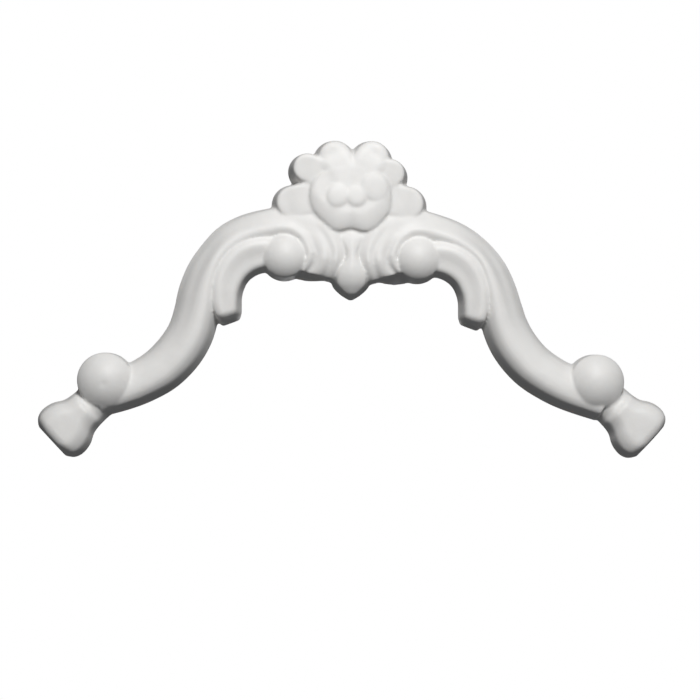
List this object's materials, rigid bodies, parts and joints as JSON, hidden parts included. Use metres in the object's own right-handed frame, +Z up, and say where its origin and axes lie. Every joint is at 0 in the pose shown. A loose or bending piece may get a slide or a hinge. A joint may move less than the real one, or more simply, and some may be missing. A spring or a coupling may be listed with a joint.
{
  "type": "corner applique",
  "caption": "Cast corner applique with a rose, scrolled arms, round beads and flared feet, glued flat on to furniture, frames or panels.",
  "frame": {"origin": "on the flat back, behind the middle of the rose", "axes": "+X to the right seen from the front, +Y out of the flat back into the panel, +Z up; the relief faces -Y"},
  "size_m": [0.1643, 0.0087, 0.0837],
  "materials": {
    "cast_resin": "smooth matte white cast resin, unpainted"
  },
  "bodies": {
    "root": {"corner_applique": "cast_resin"}
  },
  "joints": []
}
